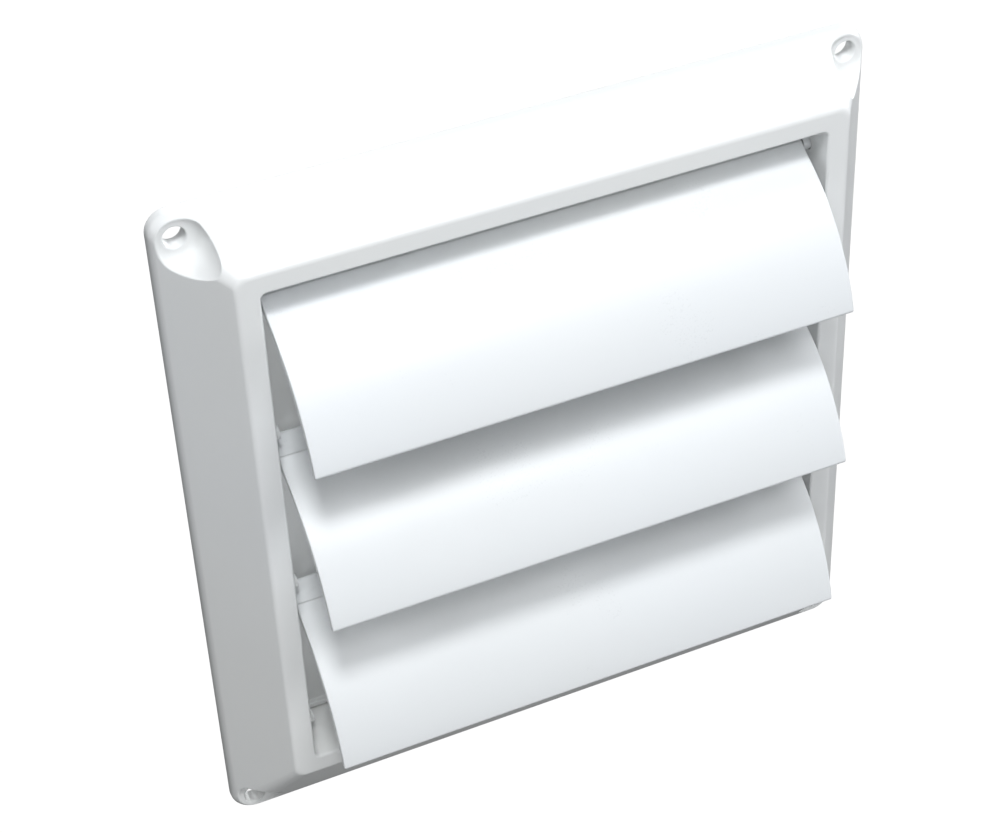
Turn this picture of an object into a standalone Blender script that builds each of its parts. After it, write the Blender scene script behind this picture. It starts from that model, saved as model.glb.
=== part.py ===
"""Louvered gravity vent cover: a thin-walled bevelled hood frame, three hinged louvers and a
snap-in duct collar.

Frame of the part: X to the right seen from outside, +Z up, the wall (mounting) plane at Y = 0 and
the outside of the vent towards -Y. Z = 0 is half way up the mounting flange. Lengths are metres.
"""

import math

import bmesh
import bpy
from mathutils import Matrix, Vector

MM = 0.001
SIDES = (-1, 1)

# ---- hood frame --------------------------------------------------------------------
FLANGE_W = 159.0 * MM
FLANGE_H = 167.6 * MM
FLANGE_R = 5.0 * MM            # corner radius of the flange outline
SKIRT = 3.0 * MM               # straight edge of the flange, square to the wall
DEPTH = 18.3 * MM              # wall plane to the front ring
BEVEL = (11.8 * MM, 8.7 * MM, 21.1 * MM)  # inset of the ring from the flange: side, top, bottom
RING = (4.9 * MM, 4.75 * MM, 4.2 * MM)    # width of the flat front ring: side, top, bottom
RING_R_OUT = 2.6 * MM
RING_R_IN = 1.4 * MM
WALL = 2.0 * MM                # moulded wall thickness
HOLLOW_EDGE_Y = -2.3 * MM      # the hollow is straight-sided behind this and bevelled in front
REBATE = 2.6 * MM              # the inner box stops this far short of the wall plane
REBATE_PLAY = 0.4 * MM         # rebate past the edge of the collar plate
CORNER_STEPS = 6               # segments in each rounded corner
SMOOTH_ANGLE = math.radians(30)

# Ribs in the hollow behind the bevel
RIB_T = 1.4 * MM
RIB_BACK = -5.0 * MM
RIB_Z = (51.0 * MM, 10.0 * MM, -28.0 * MM)
RIB_X = (-36.0 * MM, 0.0, 36.0 * MM)

# Overlaps that keep faces of the tools from coinciding with those of the parts
OVERRUN = 5.0 * MM             # long cutters past the part
BOSS_OVERRUN = 4.0 * MM        # solid corners past the hood
SMALL_OVERRUN = 1.0 * MM       # short cutters and ribs past the part
EMBED = 0.5 * MM               # roots of joined shapes inside their neighbour

# ---- corner screw recesses ---------------------------------------------------------
SCREW_X = 74.5 * MM
SCREW_Z = 78.8 * MM
SCREW_D = 4.9 * MM
RECESS_R = 5.8 * MM            # round recess over each screw
BOSS_R = RECESS_R + 2.0 * MM   # solid corner left round the recess
BOSS_TURN = 0.03               # radians the boss facets are turned off those of the recess
FLOOR = 4.0 * MM               # material left under the recess

# ---- louvers -----------------------------------------------------------------------
PIVOT_Y = -9.7 * MM            # hinge axes, behind the front ring
PIVOT_TOP_Z = 63.2 * MM
PITCH = 41.5 * MM
BLADE_HALF = 61.0 * MM         # half the blade's length
BLADE_R = 43.0 * MM            # outer radius of the curved blade
BLADE_ARC = 51.5               # degrees of arc from hinge to lip
BLADE_T = 1.6 * MM
BLADE_STEPS = 16
BLADE_CROWDING = 1.25          # exponent that crowds the blade's stations towards the hinge
BEAD = 1.65 * MM               # half thickness of the hinge bead along the blade's root
BEAD_FADE_TAIL = 1.5 * MM      # distance over which the bead thins out into the upstand
BEAD_FADE_BLADE = 2.0 * MM     # and into the blade
TAIL = 4.8 * MM                # upstand over the hinge, closes the gap to the blade above
TAIL_SHARES = (1.0, 0.55, 0.33)  # stations up the tail, as shares of its height
TAIL_T = 1.5 * MM
TAIL_BACK = 0.6 * MM           # the tail stands this far behind the hinge axis
TAIL_LEAN = math.radians(1.0)  # backward lean of the tail
CLOSED_TILT = 2.4              # degrees the closed chord stands forward of plumb
OPEN_AT_REST = {"louver_upper": 39.7, "louver_middle": 41.1, "louver_lower": 36.2}  # degrees
OPEN_MAX = 84.0                # degrees from closed to fully open

STUB_D = 3.0 * MM
STUB_ROOT = 1.0 * MM           # length of each hinge stub inside the blade
STUB_END = 66.3 * MM           # half the distance between the ends of the two stubs
BEARING_D = 3.6 * MM           # hole the stub turns in
BEARING_BOSS_D = 7.0 * MM
BEARING_BOSS_H = 2.0 * MM

# Stop pegs on the inner side walls
PEG_D = 3.0 * MM
PEG_IN = 60.0 * MM             # |x| of the free end of a peg
PEG_ROOT = 0.8 * MM            # how far a peg runs into the wall
STOP_GAP = 0.4 * MM
OPEN_STOP_EXTRA = 0.1 * MM     # extra gap at the open stop
CLOSED_PEG_DROP = 34.0 * MM    # the closed stop meets the blade about this far below the hinge
OPEN_PEG_SHARE = 0.8           # the open stop meets the tail at this share of its height

# ---- duct collar -------------------------------------------------------------------
COLLAR_OD = 99.0 * MM          # slips inside a nominal 100 mm duct
COLLAR_WALL = 2.0 * MM
COLLAR_END = 35.7 * MM         # how far it stands behind the wall plane
COLLAR_TAPER = 1.0 * MM        # the free end is this much smaller in diameter
COLLAR_STEPS = 56
BORE_FRONT_Y = -8.0 * MM       # front end of the bore cutter
GAP = 0.3 * MM
PLATE_T = 2.0 * MM
PLATE_LAP = 0.8 * MM           # how far the plate laps past the inner box walls
PLATE_FRONT_Y = -GAP - PLATE_T
RIM_T = 1.4 * MM
RIM_H = 1.2 * MM

CLIP_Z = (42.5 * MM, -40.0 * MM)
CLIP_W = 7.0 * MM
CLIP_T = 1.5 * MM              # thickness of the clip's leg
CLIP_ROOT_Y = -GAP - 0.05 * MM
CLIP_TIP_Y = -10.0 * MM
CLIP_TIP_IN = 0.5 * MM         # the tip lies this far out from the leg's inner face
CLIP_SHOULDER_Y = -9.2 * MM    # front end of the leg's outer face
BARB_REACH = 1.7 * MM          # how far the barb stands in from the leg
BARB_Y = (-8.6 * MM, -7.2 * MM)
WINDOW_Y = (-9.7 * MM, -6.8 * MM)
WINDOW_PLAY = 0.5 * MM         # window past the clip at each edge
WINDOW_OVERRUN = 0.15 * MM     # window cutter past the outside of the inner box

# ---- derived -----------------------------------------------------------------------
Z_TOP, Z_BOT = FLANGE_H / 2, -FLANGE_H / 2
FLANGE = (0, 0, 0)
OPENING = tuple(bevel + ring for bevel, ring in zip(BEVEL, RING))
IN_X = FLANGE_W / 2 - OPENING[0]
IN_TOP = Z_TOP - OPENING[1]
IN_BOT = Z_BOT + OPENING[2]
SCREWS = [(sx * SCREW_X, sz * SCREW_Z) for sx in SIDES for sz in SIDES]
PIVOTS = {name: PIVOT_TOP_Z - i * PITCH for i, name in enumerate(OPEN_AT_REST)}


# ---- outlines and solids -----------------------------------------------------------
def outline(insets, radius):
    """A rounded rectangle in X and Z, inset from the flange outline by (side, top, bottom)."""
    side, top, bottom = insets
    x = FLANGE_W / 2 - side - radius
    z_top = Z_TOP - top - radius
    z_bot = Z_BOT + bottom + radius
    points = []
    for cx, cz, start in ((x, z_top, 0), (-x, z_top, 90), (-x, z_bot, 180), (x, z_bot, 270)):
        for i in range(CORNER_STEPS + 1):
            angle = math.radians(start + 90 * i / CORNER_STEPS)
            points.append((cx + radius * math.cos(angle), cz + radius * math.sin(angle)))
    return points


def offset(insets, distance):
    """The same insets, all further in by a distance (further out if it is negative)."""
    return tuple(inset + distance for inset in insets)


def loft(bm, sections, closed=False):
    """Bridges rings of (x, z) points, each at its own y. An open loft is capped at both ends."""
    rings = []
    for points, y in sections:
        verts = [bm.verts.new((x, y, z)) for x, z in points]
        edges = [bm.edges.new(pair) for pair in zip(verts, verts[1:] + verts[:1])]
        rings.append((verts, edges))
    pairs = list(zip(rings, rings[1:]))
    if closed:
        pairs.append((rings[-1], rings[0]))
    for (_, edges_a), (_, edges_b) in pairs:
        bmesh.ops.bridge_loops(bm, edges=edges_a + edges_b)
    if not closed:
        bm.faces.new(rings[0][0])
        bm.faces.new(rings[-1][0])


def extrude(bm, points, along):
    """A flat outline of 3D points pushed along a vector."""
    face = bm.faces.new([bm.verts.new(point) for point in points])
    grown = bmesh.ops.extrude_face_region(bm, geom=[face])["geom"]
    verts = [item for item in grown if isinstance(item, bmesh.types.BMVert)]
    bmesh.ops.translate(bm, vec=along, verts=verts)


def prism(bm, points, y0, y1):
    """An outline of (x, z) points pushed along Y."""
    extrude(bm, [(x, y0, z) for x, z in points], (0, y1 - y0, 0))


def box(bm, *spans):
    """A box from its X, Y and Z spans; the ends of a span may come in either order."""
    centre = [(a + b) / 2 for a, b in spans]
    size = [abs(b - a) for a, b in spans]
    matrix = Matrix.Translation(centre) @ Matrix.Diagonal((*size, 1))
    bmesh.ops.create_cube(bm, size=1, matrix=matrix)


def rod(bm, axis, radius, span, across, steps, turn=0.0, radius_end=None):
    """A round bar along X at across = (y, z), or along Y at across = (x, z).

    radius_end, if given, is the radius at the bar's positive end.
    """
    middle = sum(span) / 2
    if axis == "X":
        centre = (middle, *across)
        swing = Matrix.Rotation(math.radians(90), 4, "Y")
    else:
        centre = (across[0], middle, across[1])
        swing = Matrix.Rotation(math.radians(-90), 4, "X")
    bmesh.ops.create_cone(
        bm, cap_ends=True, segments=steps,
        radius1=radius, radius2=radius if radius_end is None else radius_end,
        depth=abs(span[1] - span[0]),
        matrix=Matrix.Translation(centre) @ swing @ Matrix.Rotation(turn, 4, "Z"),
    )


# ---- objects and materials ---------------------------------------------------------
def new_object(name, bm):
    bmesh.ops.recalc_face_normals(bm, faces=bm.faces)
    mesh = bpy.data.meshes.new(name)
    bm.to_mesh(mesh)
    bm.free()
    mesh.shade_smooth()
    mesh.set_sharp_from_angle(angle=SMOOTH_ANGLE)
    obj = bpy.data.objects.new(name, mesh)
    bpy.context.scene.collection.objects.link(obj)
    return obj


def apply_tool(target, operation, name, bm):
    """Makes a hidden tool from bm, adds it to the target as a boolean and returns the tool."""
    tool = new_object(name, bm)
    tool.hide_render = True
    tool.display_type = "WIRE"
    mod = target.modifiers.new(f"{operation.lower()}_{name}", "BOOLEAN")
    mod.operation = operation
    mod.solver = "EXACT"
    mod.object = tool
    return tool


def add_plastic(obj, colour, roughness):
    mat = bpy.data.materials.new(obj.name + "_white")
    mat.use_nodes = True
    bsdf = mat.node_tree.nodes["Principled BSDF"]
    bsdf.inputs["Base Color"].default_value = (*colour, 1)
    bsdf.inputs["Roughness"].default_value = roughness
    obj.data.materials.append(mat)


# ---- hood frame --------------------------------------------------------------------
def inner_face(y):
    """Insets of the bevel's inner face at y, one wall thickness in from its outer face."""
    run = DEPTH - SKIRT
    return [
        inset * (-y - SKIRT) / run + WALL * math.hypot(inset, run) / run
        for inset in BEVEL
    ]


def cut_hollow(hood):
    """The hollow behind the bevel, open at the back, less the solid screw corners and ribs."""
    y_ring = -(DEPTH - WALL)
    skirt = outline([max(WALL, inset) for inset in inner_face(HOLLOW_EDGE_Y)], FLANGE_R - WALL)
    inner_box = outline(offset(OPENING, -WALL), RING_R_IN + WALL)
    bm = bmesh.new()
    loft(bm, [
        (skirt, SMALL_OVERRUN),
        (skirt, HOLLOW_EDGE_Y),
        (outline(inner_face(y_ring), RING_R_OUT), y_ring),
        (inner_box, y_ring),
        (inner_box, SMALL_OVERRUN),
    ], closed=True)
    hollow = apply_tool(hood, "DIFFERENCE", "hollow_cutter", bm)

    bm = bmesh.new()
    for screw in SCREWS:
        rod(bm, "Y", BOSS_R, (BOSS_OVERRUN, -DEPTH - BOSS_OVERRUN), screw, 32, turn=BOSS_TURN)
    # Ribs that tie the bevel to the inner box
    rib_y = (-DEPTH - SMALL_OVERRUN, RIB_BACK)
    for z in RIB_Z:
        for sx in SIDES:
            box(bm, (sx * (IN_X + EMBED), sx * (FLANGE_W / 2 + SMALL_OVERRUN)), rib_y,
                (z - RIB_T / 2, z + RIB_T / 2))
    for x in RIB_X:
        rib_x = (x - RIB_T / 2, x + RIB_T / 2)
        box(bm, rib_x, rib_y, (IN_TOP + EMBED, Z_TOP + SMALL_OVERRUN))
        box(bm, rib_x, rib_y, (Z_BOT - SMALL_OVERRUN, IN_BOT - EMBED))
    apply_tool(hollow, "DIFFERENCE", "solid_corners_and_ribs", bm)


def cut_opening(hood):
    """The louver opening, straight through, and the rebate for the collar plate."""
    bm = bmesh.new()
    prism(bm, outline(OPENING, RING_R_IN), OVERRUN, -DEPTH - OVERRUN)
    apply_tool(hood, "DIFFERENCE", "opening_cutter", bm)

    bm = bmesh.new()
    lap = WALL + PLATE_LAP + REBATE_PLAY
    prism(bm, outline(offset(OPENING, -lap), RING_R_IN + lap), OVERRUN, -REBATE)
    apply_tool(hood, "DIFFERENCE", "rebate_cutter", bm)


def cut_screw_recesses(hood):
    """Round recesses over the four screws, and the screw holes."""
    bm = bmesh.new()
    for screw in SCREWS:
        rod(bm, "Y", RECESS_R, (-FLOOR, -DEPTH - OVERRUN), screw, 32)
    apply_tool(hood, "DIFFERENCE", "recess_cutter", bm)

    bm = bmesh.new()
    for screw in SCREWS:
        rod(bm, "Y", SCREW_D / 2, (OVERRUN, -FLOOR - SMALL_OVERRUN), screw, 20)
    apply_tool(hood, "DIFFERENCE", "screw_hole_cutter", bm)


def add_bearings_and_pegs(hood):
    """Hinge bearing bosses and stop pegs."""
    bm = bmesh.new()
    for z in PIVOTS.values():
        for sx in SIDES:
            boss_span = (sx * (IN_X + EMBED), sx * (IN_X + WALL + BEARING_BOSS_H))
            rod(bm, "X", BEARING_BOSS_D / 2, boss_span, (PIVOT_Y, z), 20)
            for forward, up in peg_places():
                peg_span = (sx * PEG_IN, sx * (IN_X + PEG_ROOT))
                rod(bm, "X", PEG_D / 2, peg_span, (PIVOT_Y - forward, z + up), 12)
    apply_tool(hood, "UNION", "boss_and_peg_tool", bm)


def cut_bearings_and_windows(hood):
    """Holes for the hinge stubs and windows for the collar clips."""
    bm = bmesh.new()
    x_in = IN_X - SMALL_OVERRUN
    for z in PIVOTS.values():
        for sx in SIDES:
            x_out = IN_X + WALL + BEARING_BOSS_H + SMALL_OVERRUN
            rod(bm, "X", BEARING_D / 2, (sx * x_in, sx * x_out), (PIVOT_Y, z), 16)
    half = CLIP_W / 2 + WINDOW_PLAY
    for z in CLIP_Z:
        for sx in SIDES:
            x_out = IN_X + WALL + WINDOW_OVERRUN
            box(bm, (sx * x_in, sx * x_out), WINDOW_Y, (z - half, z + half))
    apply_tool(hood, "DIFFERENCE", "bearing_and_window_cutter", bm)


def build_hood():
    bm = bmesh.new()
    loft(bm, [
        (outline(FLANGE, FLANGE_R), 0),
        (outline(FLANGE, FLANGE_R), -SKIRT),
        (outline(BEVEL, RING_R_OUT), -DEPTH),
    ])
    hood = new_object("hood_frame", bm)
    cut_hollow(hood)
    cut_opening(hood)
    cut_screw_recesses(hood)
    add_bearings_and_pegs(hood)
    cut_bearings_and_windows(hood)
    add_plastic(hood, colour=(0.85, 0.86, 0.86), roughness=0.35)


# ---- louver profile: (forward, up) from the hinge axis, blade closed ---------------
def half_thickness(thickness, distance, fade):
    """Half thickness at a distance from the hinge, where the bead fades into the sheet."""
    return thickness / 2 + (BEAD - thickness / 2) * math.exp(-(distance / fade) ** 2)


def blade_centreline():
    """(forward, up, half thickness) from the tail's end, over the hinge axis, to the lip."""
    line = []
    for share in TAIL_SHARES:
        s = TAIL * share
        back = TAIL_BACK * min(1.0, share / 0.5)
        line.append((-s * math.sin(TAIL_LEAN) - back, s * math.cos(TAIL_LEAN),
                     half_thickness(TAIL_T, s, BEAD_FADE_TAIL)))

    mid_r = BLADE_R - BLADE_T / 2
    start = math.radians(90 - CLOSED_TILT - BLADE_ARC / 2)  # arc angle at the hinge
    for i in range(BLADE_STEPS + 1):
        swept = math.radians(BLADE_ARC * (i / BLADE_STEPS) ** BLADE_CROWDING)
        line.append((mid_r * (math.sin(start + swept) - math.sin(start)),
                     mid_r * (math.cos(start + swept) - math.cos(start)),
                     half_thickness(BLADE_T, mid_r * swept, BEAD_FADE_BLADE)))
    return line


def tangent_and_normal(start, end):
    tangent = Vector((end[0] - start[0], end[1] - start[1])).normalized()
    return tangent, Vector((-tangent.y, tangent.x))


def round_cap(end, before):
    """Three points round the end of a strip."""
    tangent, normal = tangent_and_normal(before, end)
    centre = Vector(end[:2])
    return [
        tuple(centre + end[2] * (normal * math.cos(angle) + tangent * math.sin(angle)))
        for angle in map(math.radians, (45, 90, 135))
    ]


def strip_outline(line):
    """Outline of a strip with rounded ends along (forward, up, half thickness) stations."""
    left, right = [], []
    for i, (forward, up, half) in enumerate(line):
        _, normal = tangent_and_normal(line[max(i - 1, 0)], line[min(i + 1, len(line) - 1)])
        left.append((forward + normal.x * half, up + normal.y * half))
        right.append((forward - normal.x * half, up - normal.y * half))
    return left + round_cap(line[-1], line[-2]) + right[::-1] + round_cap(line[0], line[1])


def peg_places():
    """(forward, up) of the closed and open stop pegs, each just behind what it stops."""
    clearance = STOP_GAP + PEG_D / 2
    blade = blade_centreline()[len(TAIL_SHARES):]
    forward, up, half = min(blade, key=lambda station: abs(station[1] + CLOSED_PEG_DROP))
    closed_peg = (forward - half - clearance, up)

    # The open peg is set behind the closed tail, then turned with it to fully open
    forward = -TAIL_BACK - TAIL_T / 2 - clearance - OPEN_STOP_EXTRA
    up = TAIL * OPEN_PEG_SHARE
    cos, sin = math.cos(math.radians(OPEN_MAX)), math.sin(math.radians(OPEN_MAX))
    return closed_peg, (forward * cos - up * sin, forward * sin + up * cos)


# ---- louvers -----------------------------------------------------------------------
def build_louver(name, pivot_z, open_degrees):
    """A curved blade and its two hinge stubs, with the origin on the hinge axis."""
    bm = bmesh.new()
    profile = strip_outline(blade_centreline())
    extrude(bm, [(-BLADE_HALF, -forward, up) for forward, up in profile], (2 * BLADE_HALF, 0, 0))
    blade = new_object(name, bm)

    bm = bmesh.new()
    for sx in SIDES:
        rod(bm, "X", STUB_D / 2, (sx * (BLADE_HALF - STUB_ROOT), sx * STUB_END), (0, 0), 16)
    stubs = apply_tool(blade, "UNION", name + "_stub_tool", bm)

    for obj in (blade, stubs):
        obj.location = (0, PIVOT_Y, pivot_z)
        obj.rotation_euler = (-math.radians(open_degrees), 0, 0)
    add_plastic(blade, colour=(0.87, 0.88, 0.88), roughness=0.32)


# ---- duct collar -------------------------------------------------------------------
def add_rim(collar):
    """Locating rim that drops inside the inner box, a little clear of it."""
    outer = outline(offset(OPENING, GAP), RING_R_IN)
    inner = outline(offset(OPENING, GAP + RIM_T), RING_R_IN / 2)
    y_root, y_end = PLATE_FRONT_Y + EMBED, PLATE_FRONT_Y - RIM_H
    bm = bmesh.new()
    loft(bm, [(outer, y_root), (outer, y_end), (inner, y_end), (inner, y_root)], closed=True)
    apply_tool(collar, "UNION", "rim_tool", bm)


def add_clips(collar):
    """Spring clips: a leg outside the inner box wall and a barb that springs into its window."""
    leg_in = IN_X + WALL + GAP
    leg_out = leg_in + CLIP_T
    barb_front, barb_back = BARB_Y
    profile = [  # (|x|, y)
        (leg_in, CLIP_ROOT_Y),
        (leg_out, CLIP_ROOT_Y),
        (leg_out, CLIP_SHOULDER_Y),
        (leg_in + CLIP_TIP_IN, CLIP_TIP_Y),
        (leg_in - BARB_REACH, barb_front),
        (leg_in - BARB_REACH, barb_back),
        (leg_in, barb_back),
    ]
    bm = bmesh.new()
    for z in CLIP_Z:
        for sx in SIDES:
            extrude(bm, [(sx * x, y, z - CLIP_W / 2) for x, y in profile], (0, 0, CLIP_W))
    apply_tool(collar, "UNION", "clip_tool", bm)


def add_spigot(collar):
    """The tapered duct spigot behind the plate, and the bore through both."""
    outer = COLLAR_OD / 2
    inner = outer - COLLAR_WALL
    bm = bmesh.new()
    rod(bm, "Y", outer, (-GAP - PLATE_T / 2, COLLAR_END), (0, 0), COLLAR_STEPS,
        radius_end=outer - COLLAR_TAPER / 2)
    apply_tool(collar, "UNION", "spigot_tool", bm)

    bm = bmesh.new()
    rod(bm, "Y", inner, (BORE_FRONT_Y, COLLAR_END + OVERRUN), (0, 0), COLLAR_STEPS,
        radius_end=inner - COLLAR_TAPER / 2)
    apply_tool(collar, "DIFFERENCE", "duct_bore_cutter", bm)


def build_collar():
    lap = WALL + PLATE_LAP
    bm = bmesh.new()
    prism(bm, outline(offset(OPENING, -lap), RING_R_IN + lap), -GAP, PLATE_FRONT_Y)
    collar = new_object("duct_collar", bm)
    add_rim(collar)
    add_clips(collar)
    add_spigot(collar)
    add_plastic(collar, colour=(0.84, 0.85, 0.85), roughness=0.4)


for old in list(bpy.data.objects):
    bpy.data.objects.remove(old, do_unlink=True)
build_hood()
for louver, pivot in PIVOTS.items():
    build_louver(louver, pivot, OPEN_AT_REST[louver])
build_collar()
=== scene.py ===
"""Louvered vent cover: a moulded hood with rounded edges, three louvers and a duct collar.

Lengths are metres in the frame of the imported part: X right seen from outside, +Z up, wall plane
at Y = 0. The hood stands out towards -Y and the collar runs back towards +Y.
"""
import math

import bmesh
import bpy
from mathutils import Matrix, Vector


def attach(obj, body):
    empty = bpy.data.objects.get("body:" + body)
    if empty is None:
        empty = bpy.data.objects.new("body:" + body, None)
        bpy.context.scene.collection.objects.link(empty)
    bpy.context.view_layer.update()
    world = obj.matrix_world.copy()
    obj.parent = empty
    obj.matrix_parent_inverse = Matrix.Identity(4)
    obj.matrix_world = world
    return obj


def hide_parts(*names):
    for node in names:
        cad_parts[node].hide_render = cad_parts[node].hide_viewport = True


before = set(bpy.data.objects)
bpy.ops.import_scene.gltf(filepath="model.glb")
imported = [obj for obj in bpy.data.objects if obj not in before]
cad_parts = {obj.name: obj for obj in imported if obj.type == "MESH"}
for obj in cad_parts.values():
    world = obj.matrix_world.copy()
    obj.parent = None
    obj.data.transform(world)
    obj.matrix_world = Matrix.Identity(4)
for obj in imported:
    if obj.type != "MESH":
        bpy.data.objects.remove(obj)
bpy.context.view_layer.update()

scene = bpy.context.scene
MM = 0.001

# ---- hood dimensions -------------------------------------------------------------------------
FLANGE_W = 159.0 * MM
FLANGE_H = 167.6 * MM
FLANGE_R = 5.0 * MM
SKIRT = 3.0 * MM            # height of the upright edge at the wall
DEPTH = 18.3 * MM           # height of the flat ring round the opening
RUN = DEPTH - SKIRT         # height of the bevel between them
WALL = 2.0 * MM
# Widths at (side, top, bottom)
BEVEL = (11.8 * MM, 8.7 * MM, 21.1 * MM)
RING = (4.9 * MM, 4.75 * MM, 4.2 * MM)
OPENING = tuple(bevel + ring for bevel, ring in zip(BEVEL, RING))
RING_R_OUT = 2.6 * MM
RING_R_IN = 1.4 * MM
CORNER_STEPS = 14
Z_TOP, Z_BOT = FLANGE_H / 2, -FLANGE_H / 2
IN_X = FLANGE_W / 2 - BEVEL[0] - RING[0]
IN_TOP = Z_TOP - BEVEL[1] - RING[1]
IN_BOT = Z_BOT + BEVEL[2] + RING[2]

SKIRT_ROUND = 4.5 * MM
RING_ROUND = 1.5 * MM
INNER_ROUND = 0.6 * MM      # front edge of the opening
WALL_EDGE_ROUND = 0.3 * MM  # edge that meets the wall plane
WALL_EDGE_STEPS = 3

HOLLOW_EDGE_Y = -2.3 * MM   # where the inside turns from skirt to bevel
REBATE = 2.6 * MM
REBATE_GAP = 0.4 * MM
RIB_T = 1.4 * MM
RIB_BACK = -5.0 * MM
RIB_Z = (51.0 * MM, 10.0 * MM, -28.0 * MM)
RIB_X = (-36.0 * MM, 0.0, 36.0 * MM)

# ---- corner recesses with screw holes --------------------------------------------------------
SCREW_X = 74.5 * MM
SCREW_Z = 78.8 * MM
SCREWS = [(sx * SCREW_X, sz * SCREW_Z) for sx in (-1, 1) for sz in (-1, 1)]
SCREW_R = 4.9 * MM / 2
SCALLOP_R = 5.8 * MM
BOSS_R = SCALLOP_R + 2.0 * MM
RECESS_R = SCALLOP_R - 0.3 * MM
FLOOR = 4.0 * MM            # height of the recess floor over the wall plane
HOLE_ROUND = 0.3 * MM
BASE_ROUND = 2.7 * MM       # between the recess floor and its wall
RIM_ROUND = 0.4 * MM        # between the recess wall and the hood's skin
DRAFT = math.radians(3)
RECESS_TURN = math.pi / 2 - DRAFT
RECESS_STEPS = 144          # round each recess
PATH_STEPS = 24             # along the floor, and again round its foot
WALL_STEPS, WALL_STEP = 160, 0.12 * MM
SKIN_STEPS, SKIN_STEP = 70, 0.02 * MM
SLOPE_REACH = 0.004 * MM    # distance over which the skin's slope is taken

# ---- louver dimensions -----------------------------------------------------------------------
# name, frame body it rides, degrees open at rest
LOUVERS = (
    ("louver_upper", "upper_louver", 39.7),
    ("louver_middle", "middle_louver", 41.1),
    ("louver_lower", "lower_louver", 36.2),
)
OPEN_MAX = 84.0
PIVOT_Y = -9.7 * MM
PIVOT_TOP_Z = 63.2 * MM
PITCH = 41.5 * MM
PIVOT_Z = [PIVOT_TOP_Z - i * PITCH for i in range(len(LOUVERS))]
BLADE_HALF = 61.0 * MM
BLADE_R = 43.0 * MM
BLADE_ARC = 51.5            # degrees
BLADE_STEPS = 56
BLADE_T = 1.6 * MM
CLOSED_TILT = 2.4           # degrees
BEAD = 1.65 * MM            # half the thickness at the pivot
BEAD_FADE = 2.0 * MM
LIP_FADE = 1.5 * MM
TAIL = 4.8 * MM             # rises above the pivot
TAIL_T = 1.5 * MM
TAIL_BACK = 0.6 * MM
TAIL_LEAN = math.radians(1.0)
TAIL_FADE = 1.5 * MM
TAIL_STATIONS = (1.0, 0.86, 0.72, 0.6, 0.5, 0.42, 0.34, 0.26, 0.18, 0.1)  # shares of TAIL
CAP_STEPS = 8
STUB_D = 3.0 * MM
STUB_END = 66.3 * MM
BEARING_D = 3.6 * MM
BEARING_BOSS_D = 7.0 * MM
BEARING_BOSS_H = 2.0 * MM
PEG_D = 3.0 * MM
PEG_IN = 60.0 * MM
PEG_DROP = 34.0 * MM        # lower peg below the pivot
STOP_GAP = 0.4 * MM

# ---- duct collar dimensions ------------------------------------------------------------------
COLLAR_OD = 99.0 * MM
COLLAR_WALL = 2.0 * MM
COLLAR_END = 35.7 * MM
COLLAR_TAPER = 1.0 * MM     # on the diameter
COLLAR_STEPS = 160
PLATE_T = 2.0 * MM
PLATE_LAP = 0.8 * MM
GAP = 0.3 * MM
RIM_T = 1.4 * MM
RIM_H = 1.2 * MM
CLIP_Z = (42.5 * MM, -40.0 * MM)
CLIP_W = 7.0 * MM
CLIP_T = 1.5 * MM
CLIP_HOOK = 1.7 * MM        # reach of the hook towards the opening


# ---- mesh helpers ----------------------------------------------------------------------------
def ring_points(insets, ys, radius):
    """A closed loop round the hood. insets and ys hold its place at side, top and bottom; y runs
    evenly from one to the next round each corner."""
    side, top, bottom = insets
    y_side, y_top, y_bottom = ys
    x = FLANGE_W / 2 - side
    zt, zb = Z_TOP - top, Z_BOT + bottom
    points = []
    for cx, cz, start, y0, y1 in (
        (x - radius, zt - radius, 0, y_side, y_top),
        (-x + radius, zt - radius, 90, y_top, y_side),
        (-x + radius, zb + radius, 180, y_side, y_bottom),
        (x - radius, zb + radius, 270, y_bottom, y_side),
    ):
        for i in range(CORNER_STEPS + 1):
            a = math.radians(start + 90 * i / CORNER_STEPS)
            share = i / CORNER_STEPS
            points.append((cx + radius * math.cos(a), y0 + (y1 - y0) * share,
                           cz + radius * math.sin(a)))
    return points


def shifted(insets, by):
    return tuple(inset + by for inset in insets)


def flat_ring(bm, insets, radius, y):
    return [bm.verts.new(p) for p in ring_points(insets, (y, y, y), radius)]


def to_object(name, bm):
    bmesh.ops.recalc_face_normals(bm, faces=bm.faces)
    mesh = bpy.data.meshes.new(name)
    bm.to_mesh(mesh)
    bm.free()
    obj = bpy.data.objects.new(name, mesh)
    scene.collection.objects.link(obj)
    return obj


def bridge(bm, rings, closed=False):
    """Joins rings one to the next. The last meets the first if closed, else both ends are capped."""
    pairs = list(zip(rings, rings[1:]))
    if closed:
        pairs.append((rings[-1], rings[0]))
    for a, b in pairs:
        for i in range(len(a)):
            j = (i + 1) % len(a)
            bm.faces.new((a[i], a[j], b[j], b[i]))
    if not closed:
        bm.faces.new(rings[0])
        bm.faces.new(rings[-1])


def loft(bm, sections, closed=False):
    """A solid through sections of (insets, corner radius, y)."""
    rings = []
    for insets, radius, y in sections:
        verts = flat_ring(bm, insets, radius, y)
        for i in range(len(verts)):
            bm.edges.new((verts[i], verts[(i + 1) % len(verts)]))
        rings.append(verts)
    bridge(bm, rings, closed)


def extrude(bm, verts, move):
    face = bm.faces.new(verts)
    grown = bmesh.ops.extrude_face_region(bm, geom=[face])
    moved = [v for v in grown["geom"] if isinstance(v, bmesh.types.BMVert)]
    bmesh.ops.translate(bm, vec=move, verts=moved)


def prism(bm, insets, radius, y0, y1):
    extrude(bm, flat_ring(bm, insets, radius, y0), (0, y1 - y0, 0))


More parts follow.
